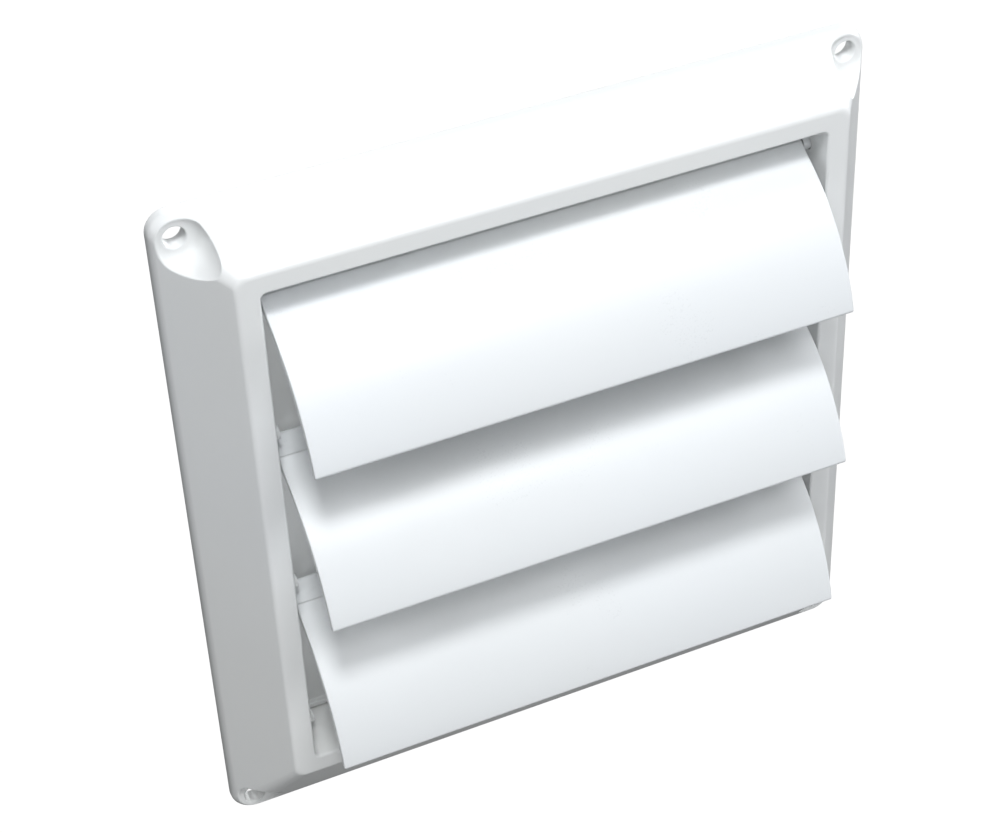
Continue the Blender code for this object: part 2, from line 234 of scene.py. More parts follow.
def box(bm, *spans):
    """A box from its x, y and z spans, each a pair in either order."""
    spans = [sorted(span) for span in spans]
    centre = Vector([(lo + hi) / 2 for lo, hi in spans])
    size = Matrix.Diagonal([hi - lo for lo, hi in spans] + [1])
    bmesh.ops.create_cube(bm, size=1, matrix=Matrix.Translation(centre) @ size)


def rod(bm, axis, radius, start, end, steps, turn=0.0, radius_end=None):
    a, b = Vector(start), Vector(end)
    if axis == "X":
        lay = Matrix.Rotation(math.radians(90), 4, "Y")
    else:
        lay = Matrix.Rotation(math.radians(-90), 4, "X")
    bmesh.ops.create_cone(
        bm, cap_ends=True, segments=steps, radius1=radius,
        radius2=radius if radius_end is None else radius_end, depth=(b - a).length,
        matrix=Matrix.Translation((a + b) / 2) @ lay @ Matrix.Rotation(turn, 4, "Z"),
    )


def bake(obj):
    dg = bpy.context.evaluated_depsgraph_get()
    mesh = bpy.data.meshes.new_from_object(obj.evaluated_get(dg), depsgraph=dg)
    old = obj.data
    obj.modifiers.clear()
    obj.data = mesh
    bpy.data.meshes.remove(old)


def boolean(obj, name, bm, operation, extra=None):
    """Cuts or joins bm into obj at once, so that the next step starts from a plain mesh.
    extra holds the arguments of a boolean applied to the tool first."""
    tool = to_object(name, bm)
    if extra is not None:
        boolean(tool, *extra)
    mod = obj.modifiers.new(name, "BOOLEAN")
    mod.operation = operation
    mod.solver = "EXACT"
    mod.object = tool
    bake(obj)
    bpy.data.objects.remove(tool)


def finish_normals(obj, angle=32):
    obj.data.shade_smooth()
    obj.data.set_sharp_from_angle(angle=math.radians(angle))
    mod = obj.modifiers.new("weighted_normals", "WEIGHTED_NORMAL")
    mod.keep_sharp = True
    mod.weight = 60


def round_edges(obj, radius_at, segments=4, limit=24.0):
    """Rounds every edge sharper than limit degrees. radius_at(middle, convex) gives the radius."""
    merge = 2e-6
    full_width = 3.0 * MM   # radius at weight 1
    bm = bmesh.new()
    bm.from_mesh(obj.data)
    bmesh.ops.remove_doubles(bm, verts=bm.verts, dist=merge)
    bmesh.ops.dissolve_degenerate(bm, dist=merge, edges=bm.edges)
    layers = bm.edges.layers.float
    weight = layers.get("bevel_weight_edge") or layers.new("bevel_weight_edge")
    for e in bm.edges:
        e[weight] = 0.0
        if len(e.link_faces) != 2:
            continue
        if math.degrees(e.calc_face_angle(0.0)) < limit:
            continue
        radius = radius_at((e.verts[0].co + e.verts[1].co) / 2, e.is_convex)
        e[weight] = min(1.0, radius / full_width)
    bm.to_mesh(obj.data)
    bm.free()
    mod = obj.modifiers.new("rounded_edges", "BEVEL")
    mod.limit_method = "WEIGHT"
    mod.offset_type = "OFFSET"
    mod.width = full_width
    mod.segments = segments
    mod.use_clamp_overlap = False
    mod.loop_slide = True
    mod.miter_outer = "MITER_SHARP"
    mod.harden_normals = False
    bake(obj)
    finish_normals(obj)


def tidy(obj):
    """Merges the slivers that cuts leave behind and closes the pin holes between them."""
    merge = 6e-6
    bm = bmesh.new()
    bm.from_mesh(obj.data)
    bmesh.ops.remove_doubles(bm, verts=bm.verts, dist=merge)
    bmesh.ops.dissolve_degenerate(bm, dist=merge, edges=bm.edges)
    seen = set()
    twins = []
    for f in bm.faces:
        key = frozenset(v.index for v in f.verts)
        if key in seen:
            twins.append(f)
        seen.add(key)
    bmesh.ops.delete(bm, geom=twins, context="FACES")
    open_edges = [e for e in bm.edges if len(e.link_faces) == 1]
    if open_edges:
        bmesh.ops.holes_fill(bm, edges=open_edges, sides=8)
    bmesh.ops.delete(bm, geom=[v for v in bm.verts if not v.link_faces], context="VERTS")
    bmesh.ops.recalc_face_normals(bm, faces=bm.faces)
    bm.to_mesh(obj.data)
    bm.free()


# ---- louver profile --------------------------------------------------------------------------
# Drawn closed about its pivot: u points away from the wall (-Y), v up.
def swell(base, peak, distance, fade):
    """Half thickness that falls from peak to base with distance."""
    return base + (peak - base) * math.exp(-(distance / fade) ** 2)


def blade_line():
    """Centre line from the tail's top down to the lip, as (u, v, half thickness)."""
    mid_r = BLADE_R - BLADE_T / 2
    start = 90 - CLOSED_TILT - BLADE_ARC / 2
    cu, cv = -mid_r * math.sin(math.radians(start)), -mid_r * math.cos(math.radians(start))
    line = []
    for share in TAIL_STATIONS:
        s = TAIL * share
        back = TAIL_BACK * min(1.0, s / (TAIL * 0.5))
        line.append((-s * math.sin(TAIL_LEAN) - back, s * math.cos(TAIL_LEAN),
                     swell(TAIL_T / 2, BEAD, s, TAIL_FADE)))
    for i in range(BLADE_STEPS + 1):
        share = (i / BLADE_STEPS) ** 1.25       # closer together near the pivot
        phi = math.radians(start + BLADE_ARC * share)
        s = mid_r * math.radians(BLADE_ARC * share)
        half = swell(BLADE_T / 2, BEAD, s, BEAD_FADE)
        left = mid_r * math.radians(BLADE_ARC) - s
        half *= 1 - 0.06 * math.exp(-(left / LIP_FADE) ** 2)    # the lip is a touch thinner
        line.append((cu + mid_r * math.sin(phi), cv + mid_r * math.cos(phi), half))
    return line


def turned(u, v, degrees):
    a = math.radians(degrees)
    return u * math.cos(a) - v * math.sin(a), u * math.sin(a) + v * math.cos(a)


BLADE_LINE = blade_line()


def peg_places():
    """(u, v) of two stop pegs: behind the closed blade near its lip, and behind the tail at
    full opening."""
    u, v, half = min(BLADE_LINE[len(TAIL_STATIONS):], key=lambda p: abs(p[1] + PEG_DROP))
    tail_u = -TAIL_BACK - TAIL_T / 2 - STOP_GAP - PEG_D / 2 - 0.1 * MM
    return (u - half - STOP_GAP - PEG_D / 2, v), turned(tail_u, TAIL * 0.8, OPEN_MAX)


PEGS = peg_places()


def side_normal(before, after):
    """Unit direction from before to after, and the one square to it."""
    t = Vector((after[0] - before[0], after[1] - before[1])).normalized()
    return t, Vector((-t.y, t.x))


def strip_outline(line):
    """The closed outline of a strip round its centre line, with round ends."""
    left, right = [], []
    for i, (u, v, half) in enumerate(line):
        _, n = side_normal(line[max(i - 1, 0)], line[min(i + 1, len(line) - 1)])
        left.append((u + n.x * half, v + n.y * half))
        right.append((u - n.x * half, v - n.y * half))

    def cap(end, before):
        u, v, half = end
        t, n = side_normal(before, end)
        points = []
        for k in range(1, CAP_STEPS):
            a = math.pi * k / CAP_STEPS
            c, s = math.cos(a), math.sin(a)
            points.append((u + half * (n.x * c + t.x * s), v + half * (n.y * c + t.y * s)))
        return points

    return left + cap(line[-1], line[-2]) + right[::-1] + cap(line[0], line[1])


# ---- hood's outer skin -----------------------------------------------------------------------
def fillet(before, corner, after, radius, steps):
    """Points of an arc that rounds a corner of a flat path."""
    before, corner, after = Vector(before), Vector(corner), Vector(after)
    d0, d1 = (corner - before).normalized(), (after - corner).normalized()
    turn = math.acos(max(-1.0, min(1.0, d0.dot(d1))))
    t = radius * math.tan(turn / 2)
    start, end = corner - d0 * t, corner + d1 * t
    centre = corner + (-d0 + d1).normalized() * (radius / math.cos(turn / 2))
    w = math.sin(turn) or 1.0
    points = []
    for i in range(steps + 1):
        k = i / steps
        u, v = math.sin(turn * (1 - k)) / w, math.sin(turn * k) / w
        points.append(centre + (start - centre) * u + (end - centre) * v)
    return points


def outer_path(inset):
    """The outer profile from the wall plane to the flat ring, as (inset, height)."""
    foot, skirt_top, bevel_top = (0, 0), (0, SKIRT), (inset, DEPTH)
    path = fillet((1 * MM, 0), foot, skirt_top, WALL_EDGE_ROUND, WALL_EDGE_STEPS)
    path += fillet(foot, skirt_top, bevel_top, SKIRT_ROUND, 10)
    path += fillet(skirt_top, bevel_top, (inset + 20 * MM, DEPTH), RING_ROUND, 8)
    return path


def edge_height(inset, d):
    """Height over the wall plane at distance d inside one straight edge with this bevel inset."""
    if d < 0:
        return 60 * d       # falls away steeply outside the flange
    turn = math.atan2(inset, RUN)
    # rounded edge between skirt and bevel
    t = SKIRT_ROUND * math.tan(turn / 2)
    if d < SKIRT_ROUND * (1 - math.cos(turn)):
        return SKIRT - t + math.sqrt(max(0.0, SKIRT_ROUND ** 2 - (SKIRT_ROUND - d) ** 2))
    # rounded edge between bevel and flat ring
    over = math.pi / 2 - turn
    centre_d = inset + RING_ROUND * math.tan(over / 2)
    if d > centre_d:
        return DEPTH
    if d > centre_d - RING_ROUND * math.sin(over):
        rise = math.sqrt(max(0.0, RING_ROUND ** 2 - (centre_d - d) ** 2))
        return DEPTH - RING_ROUND + rise
    return SKIRT + d * RUN / inset


def height(x, z):
    """Height of the rounded outer skin over the wall plane, below 0 outside the flange."""
    x = abs(x)
    bevel_side, bevel_top, bevel_bottom = BEVEL
    if z > 0:
        along, inset = Z_TOP - z, bevel_top
    else:
        along, inset = z - Z_BOT, bevel_bottom
    across = FLANGE_W / 2 - x
    best = min(DEPTH, edge_height(bevel_side, across), edge_height(inset, along))
    if across > FLANGE_R + bevel_side or along > FLANGE_R + inset:
        return best
    # near the corner the skin is a stack of arcs that shrink and move inward with height
    lo, hi = -0.5, 1.0
    for _ in range(22):
        k = (lo + hi) / 2
        r = FLANGE_R + (RING_R_OUT - FLANGE_R) * max(0.0, k)
        dx, dz = bevel_side * k + r - across, inset * k + r - along
        if dx <= 0 or dz <= 0 or math.hypot(dx, dz) <= r:
            lo = k
        else:
            hi = k
    if hi < 1.0:
        if lo <= -0.499:
            return -60 * MM
        dx, dz = bevel_side * lo + FLANGE_R - across, inset * lo + FLANGE_R - along
        if dx > 0 and dz > 0:
            share = math.atan2(dz, dx) / (math.pi / 2)
            mean = bevel_side + (inset - bevel_side) * share
            best = min(best, edge_height(mean, mean * lo))
    return best


# ---- corner recesses -------------------------------------------------------------------------
# Profiles here are (radius from the screw axis, height over the wall plane).
def hole_profile():
    """The screw hole from below the wall plane up to the rounded edge at the recess floor."""
    points = [
        (SCREW_R + 0.25 * MM, -1.5 * MM), (SCREW_R + 0.25 * MM, 0.0),
        (SCREW_R + 0.08 * MM, 0.1 * MM), (SCREW_R, 0.3 * MM),
    ]
    for k in range(6):
        a = math.pi / 2 * k / 5
        points.append((SCREW_R + HOLE_ROUND * (1 - math.cos(a)),
                       FLOOR - HOLE_ROUND + HOLE_ROUND * math.sin(a)))
    return points


def recess_path():
    """Floor, rounded foot and leaning wall in small steps, as (radius, height, direction)."""
    start = SCREW_R + HOLE_ROUND
    flat_end = RECESS_R - BASE_ROUND * math.tan(RECESS_TURN / 2)
    path = []
    for k in range(1, PATH_STEPS + 1):
        path.append((start + (flat_end - start) * k / PATH_STEPS, FLOOR, 0.0))
    for k in range(1, PATH_STEPS + 1):
        a = RECESS_TURN * k / PATH_STEPS
        path.append((flat_end + BASE_ROUND * math.sin(a),
                     FLOOR + BASE_ROUND * (1 - math.cos(a)), a))
    r0, h0, _ = path[-1]
    for k in range(1, WALL_STEPS + 1):
        s = WALL_STEP * k
        path.append((r0 + s * math.sin(DRAFT), h0 + s * math.cos(DRAFT), RECESS_TURN))
    return path


def blend(p, q, share):
    return tuple(a + (b - a) * share for a, b in zip(p, q))


def cut_at_skin(path, skin_at):
    """The path up to where it breaks through the skin."""
    hit = next(i for i, (r, h, _) in enumerate(path) if h >= skin_at(r))
    below, above = path[hit - 1], path[hit]
    lo, hi = 0.0, 1.0
    for _ in range(24):
        middle = (lo + hi) / 2
        r, h, _ = blend(below, above, middle)
        if h >= skin_at(r):
            hi = middle
        else:
            lo = middle
    return path[:hit] + [blend(below, above, hi)]


def walk_skin(r, h, skin_at):
    """Evenly spaced points on the skin, outward from (r, h)."""
    points = [(r, h)]
    for _ in range(SKIN_STEPS):
        slope = (skin_at(r + SLOPE_REACH) - skin_at(r)) / SLOPE_REACH
        slope = max(-40.0, slope)
        r += SKIN_STEP / math.hypot(1, slope)
        h = skin_at(r) if skin_at(r) > -0.5 * MM else h - SKIN_STEP
        points.append((r, h))
    return points


def direction(p, q):
    return math.atan2(q[1] - p[1], q[0] - p[0])


def rim_curve(p0, angle0, p3, angle1, steps=8):
    """A cubic that leaves p0 at angle0 and reaches p3 at angle1, near to a circular arc."""
    turn = max(0.05, angle0 - angle1)
    chord = (p3 - p0).length
    if turn > 0.06:
        arm = chord * (4 / 3) * math.tan(turn / 4) / (2 * math.sin(turn / 2))
    else:
        arm = chord / 3
    p1 = p0 + Vector((math.cos(angle0), math.sin(angle0))) * arm
    p2 = p3 - Vector((math.cos(angle1), math.sin(angle1))) * arm
    points = []
    for i in range(1, steps + 1):
        t = i / steps
        q = p0 * (1 - t) ** 3 + p1 * 3 * t * (1 - t) ** 2 + p2 * 3 * t * t * (1 - t) + p3 * t ** 3
        points.append((q.x, q.y))
    return points


def recess_profile(path, theta, cx, cz):
    """The cut for one recess and its hole in the half plane at angle theta, from below the hole,
    over the floor and up the wall, to just outside the skin."""
    cos_t, sin_t = math.cos(theta), math.sin(theta)

    def skin_at(r):
        return height(cx + r * cos_t, cz + r * sin_t)

    walked = cut_at_skin(path, skin_at)
    r_cross, h_cross, angle_cross = walked[-1]
    skin = walk_skin(r_cross, h_cross, skin_at)
    lengths = [0.0]
    for p, q in zip(walked, walked[1:]):
        lengths.append(lengths[-1] + math.hypot(q[0] - p[0], q[1] - p[1]))
    total = lengths[-1]

    def along(s):
        s = max(0.0, min(total, s))
        j = max(1, next(i for i, length in enumerate(lengths) if length >= s))
        share = (s - lengths[j - 1]) / max(1e-12, lengths[j] - lengths[j - 1])
        return blend(walked[j - 1], walked[j], share)

    # The rounded rim starts this far before the crossing and ends as far beyond it
    rim_turn = max(0.05, angle_cross - direction(skin[0], skin[12]))
    reach = min(RIM_ROUND * math.tan(min(rim_turn, 1.6) / 2), 0.9 * MM, 0.6 * total)
    stop = total - reach
    rim_start = along(stop)
    k = max(1, int(reach / SKIN_STEP))
    rim_end = Vector(skin[k])
    end_angle = direction(skin[k - 1], skin[k])

    # The same number of points along floor, foot and wall at every angle
    foot = lengths[PATH_STEPS - 1] if len(lengths) > PATH_STEPS else stop * 0.6
    foot = min(foot, stop * 0.8)
    foot_end = min(foot + BASE_ROUND * RECESS_TURN, foot + (stop - foot) * 0.8)
    marks = [foot * v for v in (0.0, 0.25, 0.5, 0.75)]
    marks += [foot + (foot_end - foot) * v / 8 for v in range(9)]
    marks += [foot_end + (stop - foot_end) * v for v in (0.25, 0.5, 0.75, 1.0)]

    points = hole_profile() + [along(mark)[:2] for mark in marks]
    points += rim_curve(Vector(rim_start[:2]), rim_start[2], rim_end, end_angle)
    # Leave the skin at a slight lift, then rise clear of the hood
    lift = end_angle + math.radians(1.2)
    points.append((rim_end.x + 0.9 * MM * math.cos(lift), rim_end.y + 0.9 * MM * math.sin(lift)))
    points.append((max(SCALLOP_R + 4 * MM, rim_end.x + 2 * MM), DEPTH + 6 * MM))
    return points


def recess_cutter():
    """All four corner cuts as closed solids."""
    bm = bmesh.new()
    path = recess_path()
    for cx, cz in SCREWS:
        columns = []
        for i in range(RECESS_STEPS):
            theta = 2 * math.pi * i / RECESS_STEPS
            columns.append([
                bm.verts.new((cx + r * math.cos(theta), -h, cz + r * math.sin(theta)))
                for r, h in recess_profile(path, theta, cx, cz)
            ])
        for i in range(RECESS_STEPS):
            a, b = columns[i], columns[(i + 1) % RECESS_STEPS]
            for k in range(len(a) - 1):
                bm.faces.new((a[k], b[k], b[k + 1], a[k + 1]))
        bm.faces.new([c[0] for c in columns])
        bm.faces.new([c[-1] for c in columns])
    return bm


# ---- hood ------------------------------------------------------------------------------------
def hood_solid():
    bm = bmesh.new()
    rings = []
    for k, stations in enumerate(zip(*(outer_path(inset) for inset in BEVEL))):
        side = stations[0]
        share = min(1.0, max(0.0, (side.y - SKIRT) / RUN))
        radius = FLANGE_R + (RING_R_OUT - FLANGE_R) * share
        if k <= WALL_EDGE_STEPS:
            radius -= side.x
        loop = ring_points([p.x for p in stations], [-p.y for p in stations],
                           max(radius, 1 * MM))
        rings.append([bm.verts.new(q) for q in loop])
    bridge(bm, rings)
    return to_object("hood_shell", bm)


def inside(inset, y):
    """Inset of the bevel's inner face at y, one wall in from the outer face."""
    return inset * (-y - SKIRT) / RUN + WALL * math.hypot(inset, RUN) / RUN


def hollow_cutter():
    """The space behind the bevel, all round the box that lines the opening."""
    ring_y = -(DEPTH - WALL)
    skirt_in = [max(WALL, inside(inset, HOLLOW_EDGE_Y)) for inset in BEVEL]
    bevel_in = [inside(inset, ring_y) for inset in BEVEL]
    box_out = shifted(OPENING, -WALL)
    bm = bmesh.new()
    loft(bm, [
        (skirt_in, FLANGE_R - WALL, 1 * MM),
        (skirt_in, FLANGE_R - WALL, HOLLOW_EDGE_Y),
        (bevel_in, RING_R_OUT, ring_y),
        (box_out, RING_R_IN + WALL, ring_y),
        (box_out, RING_R_IN + WALL, 1 * MM),
    ], closed=True)
    return bm


def bosses_and_ribs():
    """What stays solid in the hollow: screw bosses and ribs."""
    bm = bmesh.new()
    for x, z in SCREWS:
        rod(bm, "Y", BOSS_R, (x, 4 * MM, z), (x, -DEPTH - 4 * MM, z), 72, 0.03)
    rib_y = (-DEPTH - 1 * MM, RIB_BACK)
    for z in RIB_Z:
        for sx in (-1, 1):
            box(bm, (sx * (IN_X + 0.5 * MM), sx * (FLANGE_W / 2 + 1 * MM)), rib_y,
                (z - RIB_T / 2, z + RIB_T / 2))
    for x in RIB_X:
        rib_x = (x - RIB_T / 2, x + RIB_T / 2)
        box(bm, rib_x, rib_y, (IN_TOP + 0.5 * MM, Z_TOP + 1 * MM))
        box(bm, rib_x, rib_y, (Z_BOT - 1 * MM, IN_BOT - 0.5 * MM))
    return bm


def opening_cutter():
    """The louver opening, with its front edge rounded."""
    sections = [(OPENING, RING_R_IN, 5 * MM), (OPENING, RING_R_IN, -DEPTH + INNER_ROUND)]
    for k in range(1, 7):
        a = math.pi / 2 * k / 6
        out = INNER_ROUND * (1 - math.cos(a))
        sections.append((shifted(OPENING, -out), RING_R_IN + out,
                         -DEPTH + INNER_ROUND * (1 - math.sin(a)) - 0.002 * MM))
    out = INNER_ROUND + 0.3 * MM
    for y in (-DEPTH - 0.02 * MM, -DEPTH - 5 * MM):
        sections.append((shifted(OPENING, -out), RING_R_IN + out, y))
    bm = bmesh.new()
    loft(bm, sections)
    return bm


def rebate_cutter():
    """The step at the back that takes the collar's plate."""
    lap = WALL + PLATE_LAP + REBATE_GAP
    bm = bmesh.new()
    prism(bm, shifted(OPENING, -lap), RING_R_IN + lap, 5 * MM, -REBATE)
    return bm


def bearings_and_pegs():
    bm = bmesh.new()
    for z in PIVOT_Z:
        for sx in (-1, 1):
            rod(bm, "X", BEARING_BOSS_D / 2, (sx * (IN_X + 0.5 * MM), PIVOT_Y, z),
                (sx * (IN_X + WALL + BEARING_BOSS_H), PIVOT_Y, z), 48)
            for u, v in PEGS:
                rod(bm, "X", PEG_D / 2, (sx * PEG_IN, PIVOT_Y - u, z + v),
                    (sx * (IN_X + 0.8 * MM), PIVOT_Y - u, z + v), 32)
    return bm


def side_wall_cutter():
    """Bearing holes and clip windows through the sides of the opening's box."""
    bm = bmesh.new()
    for z in PIVOT_Z:
        for sx in (-1, 1):
            rod(bm, "X", BEARING_D / 2, (sx * (IN_X - 1 * MM), PIVOT_Y, z),
                (sx * (IN_X + WALL + BEARING_BOSS_H + 1 * MM), PIVOT_Y, z), 40)
    for z in CLIP_Z:
        for sx in (-1, 1):
            box(bm, (sx * (IN_X - 1 * MM), sx * (IN_X + WALL + 0.15 * MM)),
                (-9.7 * MM, -6.8 * MM),
                (z - CLIP_W / 2 - 0.5 * MM, z + CLIP_W / 2 + 0.5 * MM))
    return bm


def make_hood():
    hood = hood_solid()
    boolean(hood, "hollow", hollow_cutter(), "DIFFERENCE",
            ("keep", bosses_and_ribs(), "DIFFERENCE"))
    boolean(hood, "opening", opening_cutter(), "DIFFERENCE")
    boolean(hood, "rebate", rebate_cutter(), "DIFFERENCE")
    boolean(hood, "recess", recess_cutter(), "DIFFERENCE")
    boolean(hood, "bosses", bearings_and_pegs(), "UNION")
    boolean(hood, "windows", side_wall_cutter(), "DIFFERENCE")
    tidy(hood)
    finish_normals(hood, 28)
    return hood


# ---- louvers ---------------------------------------------------------------------------------
def make_louver(name, pivot_z, open_degrees):
    bm = bmesh.new()
    verts = [bm.verts.new((-BLADE_HALF, -u, v)) for u, v in strip_outline(BLADE_LINE)]
    extrude(bm, verts, (2 * BLADE_HALF, 0, 0))
    blade = to_object(name + "_blade", bm)
    bm = bmesh.new()
    rod(bm, "X", STUB_D / 2, (-STUB_END, 0, 0), (-BLADE_HALF + 1 * MM, 0, 0), 40)
    rod(bm, "X", STUB_D / 2, (BLADE_HALF - 1 * MM, 0, 0), (STUB_END, 0, 0), 40)
    boolean(blade, "stubs", bm, "UNION")
    swing = Matrix.Rotation(-math.radians(open_degrees), 4, "X")
    blade.data.transform(Matrix.Translation((0, PIVOT_Y, pivot_z)) @ swing)
    round_edges(blade, lambda middle, convex: 0.3 * MM, segments=3, limit=40)
    return blade


# ---- duct collar -----------------------------------------------------------------------------
def collar_clips():
    """Hooked legs, two on each side, that reach forward outside the opening's box."""
    leg_in = IN_X + WALL + GAP
    leg_out = leg_in + CLIP_T
    back_y = -GAP - 0.05 * MM
    profile = [     # (distance from the middle, y)
        (leg_in, back_y), (leg_out, back_y), (leg_out, -9.2 * MM),
        (leg_in + 0.5 * MM, -10.0 * MM), (leg_in - CLIP_HOOK, -8.6 * MM),
        (leg_in - CLIP_HOOK, -7.2 * MM), (leg_in, -7.2 * MM),
    ]
    bm = bmesh.new()
    for z in CLIP_Z:
        for sx in (-1, 1):
            verts = [bm.verts.new((sx * x, y, z - CLIP_W / 2)) for x, y in profile]
            extrude(bm, verts, (0, 0, CLIP_W))
    return bm


def collar_edge_radius(middle, convex):
    if middle.y > COLLAR_END - 0.1 * MM:
        return 0.45 * MM
    if not convex and math.hypot(middle.x, middle.z) < COLLAR_OD / 2 + 0.5 * MM:
        return 1.2 * MM     # foot of the spigot
    return 0.3 * MM


def make_collar():
    plate_front = -GAP - PLATE_T
    lap = WALL + PLATE_LAP
    bm = bmesh.new()
    prism(bm, shifted(OPENING, -lap), RING_R_IN + lap, -GAP, plate_front)
    collar = to_object("duct_collar_moulding", bm)

    rim_out = shifted(OPENING, GAP)
    rim_in = shifted(rim_out, RIM_T)
    bm = bmesh.new()
    loft(bm, [
        (rim_out, RING_R_IN, plate_front + 0.5 * MM), (rim_out, RING_R_IN, plate_front - RIM_H),
        (rim_in, RING_R_IN / 2, plate_front - RIM_H),
        (rim_in, RING_R_IN / 2, plate_front + 0.5 * MM),
    ], closed=True)
    boolean(collar, "rim", bm, "UNION")
    boolean(collar, "clips", collar_clips(), "UNION")

    outer = COLLAR_OD / 2
    bm = bmesh.new()
    rod(bm, "Y", outer, (0, -GAP - PLATE_T / 2, 0), (0, COLLAR_END, 0), COLLAR_STEPS,
        radius_end=outer - COLLAR_TAPER / 2)
    boolean(collar, "spigot", bm, "UNION")
    inner = outer - COLLAR_WALL
    bm = bmesh.new()
    rod(bm, "Y", inner, (0, -8 * MM, 0), (0, COLLAR_END + 5 * MM, 0), COLLAR_STEPS,
        radius_end=inner - COLLAR_TAPER / 2)
    boolean(collar, "duct_bore", bm, "DIFFERENCE")
    round_edges(collar, collar_edge_radius)
    return collar


# ---- materials -------------------------------------------------------------------------------
def add_node(tree, kind, inputs=None, **settings):
    """A node with its settings, and each input given a value or a link from a socket."""
    node = tree.nodes.new(kind)
    for key, value in settings.items():
        setattr(node, key, value)
    for key, value in (inputs or {}).items():
        if isinstance(value, bpy.types.NodeSocket):
            tree.links.new(value, node.inputs[key])
        else:
            node.inputs[key].default_value = value
    return node


def plastic(name, colour, roughness, seed):
    """Moulded thermoplastic: faint tone drift, fine mould grain, handling haze in the gloss, painted
    shade in corners and edges polished by handling. seed shifts the textures."""
    mat = bpy.data.materials.new(name)
    mat.use_nodes = True
    tree = mat.node_tree
    bsdf = tree.nodes["Principled BSDF"]
    coord = add_node(tree, "ShaderNodeTexCoord")
    shift = add_node(tree, "ShaderNodeVectorMath", {
        0: coord.outputs["Object"], 1: (0.013 * seed, 0.029 * seed, 0.017 * seed),
    }, operation="ADD")

    def noise(scale, detail, rough=0.5):
        return add_node(tree, "ShaderNodeTexNoise", {
            "Scale": scale, "Detail": detail, "Roughness": rough, "Vector": shift.outputs[0],
        }).outputs["Fac"]

    def ramp(source, start, end, low, high):
        """Maps source from start..end to low..high."""
        return add_node(tree, "ShaderNodeMapRange", {
            "From Min": start, "From Max": end, "To Min": low, "To Max": high, "Value": source,
        }).outputs["Result"]

    def mix(factor, a, b):
        return add_node(tree, "ShaderNodeMix", {0: factor, 6: a, 7: b},
                        data_type="RGBA").outputs[2]

    def calc(operation, *values):
        return add_node(tree, "ShaderNodeMath", dict(enumerate(values)),
                        operation=operation).outputs[0]

    def tinted(*factors):
        return tuple(c * k for c, k in zip(colour, factors)) + (1,)

    # slow drift to a warmer tone, and fine dark specks
    drift = ramp(noise(scale=9.0, detail=3.0), 0.35, 0.65, 0.0, 1.0)
    tone = mix(drift, colour + (1,), tinted(1.0, 0.992, 0.975))
    speck = ramp(noise(scale=900.0, detail=2.0), 0.70, 0.78, 0.0, 0.10)
    tone = mix(speck, tone, tinted(0.80, 0.80, 0.80))
    # edges: the finest ones catch light as if slightly rounded, and handling has polished them
    soft = add_node(tree, "ShaderNodeBevel", {"Radius": 0.00025}, samples=4)
    wide = add_node(tree, "ShaderNodeBevel", {"Radius": 0.0006}, samples=6)
    geometry = add_node(tree, "ShaderNodeNewGeometry")
    facing = add_node(tree, "ShaderNodeVectorMath", {
        0: wide.outputs["Normal"], 1: geometry.outputs["Normal"],
    }, operation="DOT_PRODUCT")
    worn = ramp(facing.outputs["Value"], 0.80, 0.985, 1.0, 0.0)
    patches = ramp(noise(scale=160.0, detail=3.0), 0.35, 0.6, 0.25, 1.0)
    worn = calc("MULTIPLY", worn, patches)
    # painted shade: an occlusion test darkens the tone, a little warmer, where surfaces meet
    corner = add_node(tree, "ShaderNodeAmbientOcclusion", {"Distance": 0.004}, samples=6)
    painted_shade = ramp(corner.outputs["AO"], 0.25, 0.75, 0.30, 0.0)
    tone = mix(painted_shade, tone, tinted(0.74, 0.72, 0.68))
    rubbed = calc("MULTIPLY", worn, 0.35)
    tone = mix(rubbed, tone, tuple(min(0.93, c * 1.05) for c in colour) + (1,))
    tree.links.new(tone, bsdf.inputs["Base Color"])

    # gloss: broad haze, fine grain, and smoother worn edges
    haze = 0.10
    rub = ramp(noise(scale=38.0, detail=6.0, rough=0.62), 0.38, 0.66,
               roughness - haze * 0.5, roughness + haze * 0.5)
    fine = ramp(noise(scale=2200.0, detail=2.0), 0.3, 0.7, -0.03, 0.03)
    polish = calc("MULTIPLY_ADD", worn, -0.12, calc("ADD", rub, fine))
    tree.links.new(polish, bsdf.inputs["Roughness"])

    # relief: low waves, then the mould grain
    waves = add_node(tree, "ShaderNodeBump", {
        "Strength": 0.12, "Distance": 0.0008,
        "Height": noise(scale=55.0, detail=2.0), "Normal": soft.outputs["Normal"],
    })
    grain = add_node(tree, "ShaderNodeBump", {
        "Strength": 0.12, "Distance": 0.00004,
        "Height": noise(scale=3200.0, detail=3.0), "Normal": waves.outputs["Normal"],
    })
    tree.links.new(grain.outputs["Normal"], bsdf.inputs["Normal"])
    bsdf.inputs["IOR"].default_value = 1.49
    bsdf.inputs["Specular IOR Level"].default_value = 0.5
    return mat


HOOD_WHITE = plastic("hood_white_plastic", colour=(0.86, 0.87, 0.87), roughness=0.36, seed=1)
BLADE_WHITE = plastic("louver_white_plastic", colour=(0.866, 0.888, 0.908), roughness=0.34, seed=5)
COLLAR_WHITE = plastic("collar_white_plastic", colour=(0.84, 0.85, 0.85), roughness=0.42, seed=9)


# ---- assembly --------------------------------------------------------------------------------
def mount(obj, material, body, replaced):
    obj.data.materials.clear()
    obj.data.materials.append(material)
    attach(obj, body)
    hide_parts(replaced)


mount(make_hood(), HOOD_WHITE, "hood", "hood_frame")
for (name, body, open_degrees), pivot_z in zip(LOUVERS, PIVOT_Z):
    mount(make_louver(name, pivot_z, open_degrees), BLADE_WHITE, body, name)
mount(make_collar(), COLLAR_WHITE, "hood", "duct_collar")


